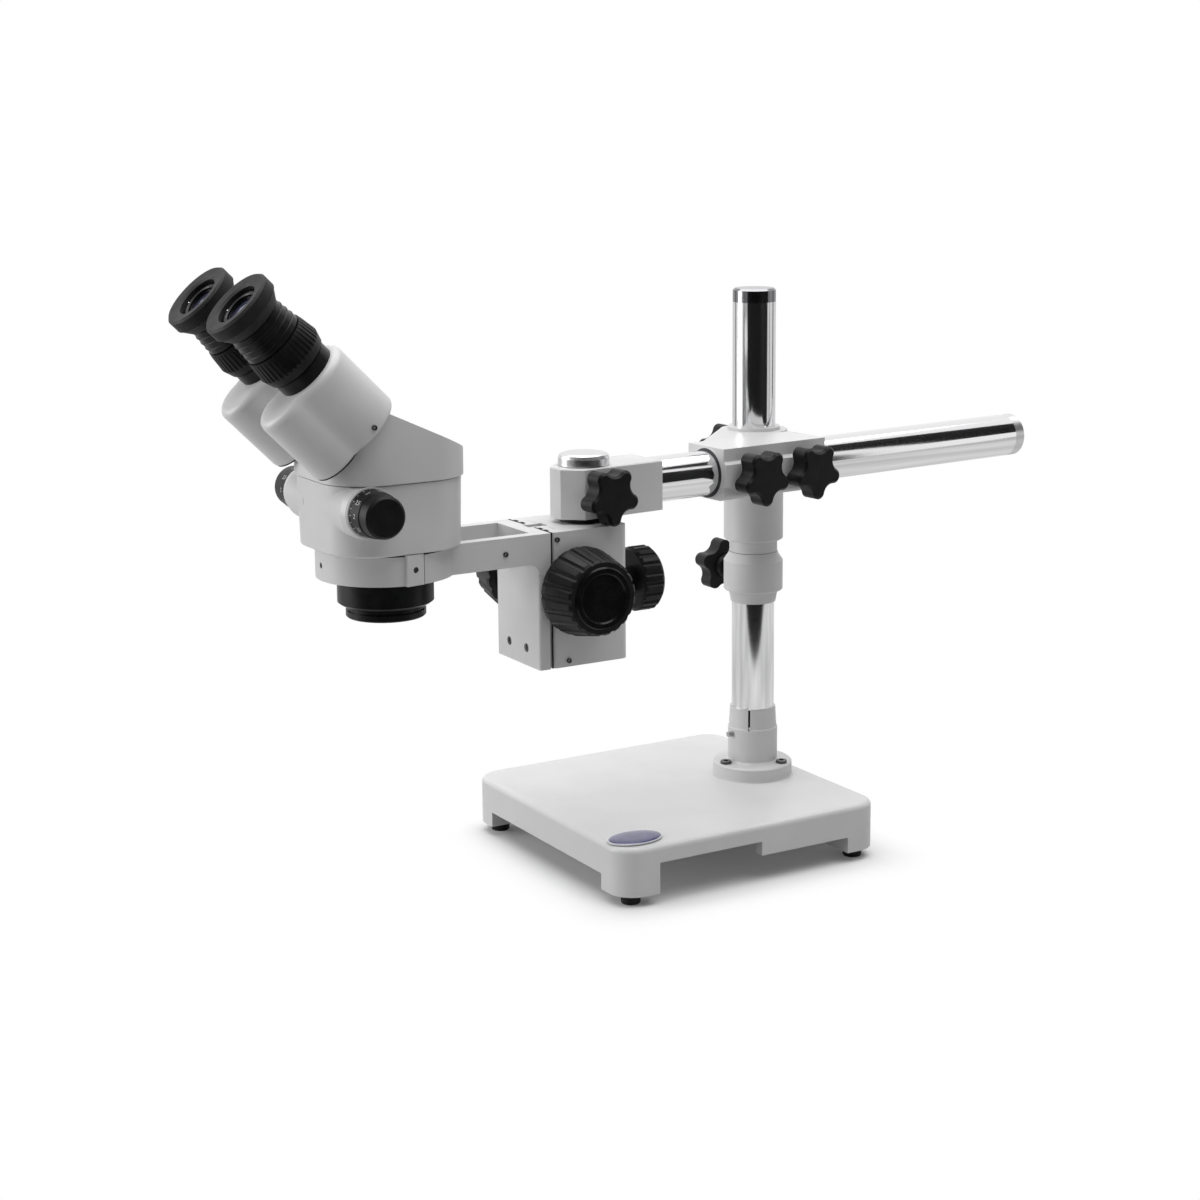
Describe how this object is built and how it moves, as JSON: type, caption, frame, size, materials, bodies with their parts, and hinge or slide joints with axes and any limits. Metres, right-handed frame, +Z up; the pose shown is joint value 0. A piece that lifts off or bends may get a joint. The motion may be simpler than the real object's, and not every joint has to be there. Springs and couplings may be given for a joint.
{
  "type": "stereo zoom microscope",
  "caption": "Binocular stereo zoom microscope on a rack focus mount, hung from a sliding boom on a column with a heavy base plate.",
  "frame": {"origin": "middle of the base plate, on the plane of the four rubber feet", "axes": "+Z up along the column, -Y towards the operator, +X to the operator's right; the base's edges run along X and Y"},
  "size_m": [0.2564, 0.6829, 0.4506],
  "materials": {
    "base_paint": "satin off-white paint on cast iron",
    "cast_paint": "satin off-white paint on cast aluminium",
    "chrome": "polished chrome plate",
    "steel": "machined steel",
    "brass": "turned",
    "grey_plastic": "matt grey",
    "black_plastic": "fine-grained black",
    "gloss_black": "glossy black",
    "black_anodised": "satin black",
    "rubber": "soft black",
    "glass": "coated lens"
  },
  "bodies": {
    "stand": {"base_plate": "base_paint", "rubber_feet": "rubber", "column_socket": "cast_paint", "socket_screws": "steel", "socket_set_screw": "steel", "column_tube": "chrome", "column_cap": "grey_plastic"},
    "safety_collar": {"safety_collar": "cast_paint"},
    "collar_lock_knob": {"collar_lock_knob": "black_plastic"},
    "boom_clamp": {"clamp_casting": "cast_paint", "clamp_bushes": "grey_plastic"},
    "column_lock_knob": {"column_lock_knob": "black_plastic"},
    "boom_lock_knob_rear": {"boom_lock_knob_rear": "black_plastic"},
    "boom_lock_knob_front": {"boom_lock_knob_front": "black_plastic"},
    "boom": {"boom_tube": "chrome", "boom_cap": "grey_plastic"},
    "pivot_block": {"pivot_casting": "cast_paint", "thrust_washer": "black_plastic"},
    "pivot_lock_knob": {"pivot_lock_knob": "black_plastic"},
    "swivel_post": {"post_shaft": "chrome", "post_cap": "chrome"},
    "focus_block": {"focus_housing": "cast_paint", "pinion_bushes": "brass"},
    "post_lock_knob": {"post_lock_knob": "black_plastic"},
    "focus_drive": {"pinion_shaft": "steel", "focus_knob_left": "black_plastic", "focus_knob_right": "black_plastic", "focus_knob_cap_left": "gloss_black", "focus_knob_cap_right": "gloss_black"},
    "carriage": {"carriage_plate": "cast_paint", "carriage_screws": "steel", "focus_rack": "steel", "ring_fork": "cast_paint", "ring_screws": "steel"},
    "head": {"head_nose": "black_anodised", "objective_lenses": "glass", "zoom_body": "cast_paint", "head_cover": "cast_paint", "zoom_rings": "cast_paint"},
    "zoom_drive": {"zoom_shaft": "steel", "zoom_knob_left": "black_plastic", "zoom_knob_right": "black_plastic"},
    "prism_left": {"prism_housing_left": "cast_paint", "eyepiece_tube_left": "black_anodised", "eyepiece_barrel_left": "black_anodised", "eyecup_left": "rubber", "eye_lens_left": "glass"},
    "dioptre_left": {"dioptre_ring_left": "black_plastic"},
    "prism_right": {"prism_housing_right": "cast_paint", "eyepiece_tube_right": "black_anodised", "eyepiece_barrel_right": "black_anodised", "eyecup_right": "rubber", "eye_lens_right": "glass"},
    "dioptre_right": {"dioptre_ring_right": "black_plastic"}
  },
  "joints": [
    {"name": "collar_height", "type": "slide", "parent": "stand", "child": "safety_collar", "axis": [0, 0, 1], "range_m": [-0.08, 0.09]},
    {"name": "collar_lock", "type": "hinge", "parent": "safety_collar", "child": "collar_lock_knob", "pos_m": [-0.02225, 0.0725, 0.198], "axis": [-1, 0, 0], "range_deg": [0, 270]},
    {"name": "clamp_swivel", "type": "hinge", "parent": "safety_collar", "child": "boom_clamp", "pos_m": [0, 0.0725, 0.292], "axis": [0, 0, 1], "continuous": true},
    {"name": "column_lock", "type": "hinge", "parent": "boom_clamp", "child": "column_lock_knob", "pos_m": [-0.02491, 0.07043, 0.288], "axis": [-0.9966, -0.0826, 0], "range_deg": [0, 270]},
    {"name": "boom_lock_rear", "type": "hinge", "parent": "boom_clamp", "child": "boom_lock_knob_rear", "pos_m": [0.08098, 0.05915, 0.291], "axis": [0.9966, 0.0826, 0], "range_deg": [0, 270]},
    {"name": "boom_lock_front", "type": "hinge", "parent": "boom_clamp", "child": "boom_lock_knob_front", "pos_m": [0.08486, 0.01231, 0.291], "axis": [0.9966, 0.0826, 0], "range_deg": [0, 270]},
    {"name": "boom_reach", "type": "slide", "parent": "boom_clamp", "child": "boom", "axis": [-0.0826, 0.9966, 0], "range_m": [-0.17, 0.045]},
    {"name": "boom_roll", "type": "hinge", "parent": "boom", "child": "pivot_block", "pos_m": [0.07003, -0.08224, 0.292], "axis": [-0.0826, 0.9966, 0], "range_deg": [-30, 30]},
    {"name": "pivot_lock", "type": "hinge", "parent": "pivot_block", "child": "pivot_lock_knob", "pos_m": [0.09106, -0.11572, 0.291], "axis": [0.9966, 0.0826, 0], "range_deg": [0, 270]},
    {"name": "post_swivel", "type": "hinge", "parent": "pivot_block", "child": "swivel_post", "pos_m": [0.07293, -0.11722, 0.292], "axis": [0, 0, 1], "range_deg": [-110, 30]},
    {"name": "block_height", "type": "slide", "parent": "swivel_post", "child": "focus_block", "axis": [0, 0, 1], "range_m": [-0.03, 0]},
    {"name": "post_lock", "type": "hinge", "parent": "focus_block", "child": "post_lock_knob", "pos_m": [0.07293, -0.10072, 0.225], "axis": [0, 1, 0], "range_deg": [0, 270]},
    {"name": "focus_travel", "type": "slide", "parent": "focus_block", "child": "carriage", "axis": [0, 0, 1], "range_m": [-0.025, 0.025]},
    {"name": "focus_spin", "type": "hinge", "parent": "focus_block", "child": "focus_drive", "pos_m": [0.07293, -0.14202, 0.2308], "axis": [1, 0, 0], "range_deg": [-200, 200]},
    {"name": "head_swivel", "type": "hinge", "parent": "carriage", "child": "head", "pos_m": [0.07293, -0.26722, 0.26], "axis": [0, 0, 1], "continuous": true},
    {"name": "zoom_turn", "type": "hinge", "parent": "head", "child": "zoom_drive", "pos_m": [0.07293, -0.29922, 0.301], "axis": [1, 0, 0], "range_deg": [-90, 90]},
    {"name": "eye_spacing_left", "type": "hinge", "parent": "head", "child": "prism_left", "pos_m": [0.04043, -0.31081, 0.33566], "axis": [0, -0.7071, 0.7071], "range_deg": [-10, 10]},
    {"name": "eye_spacing_right", "type": "hinge", "parent": "head", "child": "prism_right", "pos_m": [0.10543, -0.31081, 0.33566], "axis": [0, -0.7071, 0.7071], "range_deg": [-10, 10]},
    {"name": "dioptre_left_turn", "type": "hinge", "parent": "prism_left", "child": "dioptre_left", "pos_m": [0.04043, -0.34616, 0.40354], "axis": [0, -0.7071, 0.7071], "range_deg": [-90, 90]},
    {"name": "dioptre_right_turn", "type": "hinge", "parent": "prism_right", "child": "dioptre_right", "pos_m": [0.10543, -0.34616, 0.40354], "axis": [0, -0.7071, 0.7071], "range_deg": [-90, 90]}
  ],
  "couplings": [
    {"joint": "focus_spin", "follows": "focus_travel", "rad_per_m": -138.89},
    {"joint": "eye_spacing_right", "follows": "eye_spacing_left", "ratio": -1}
  ]
}
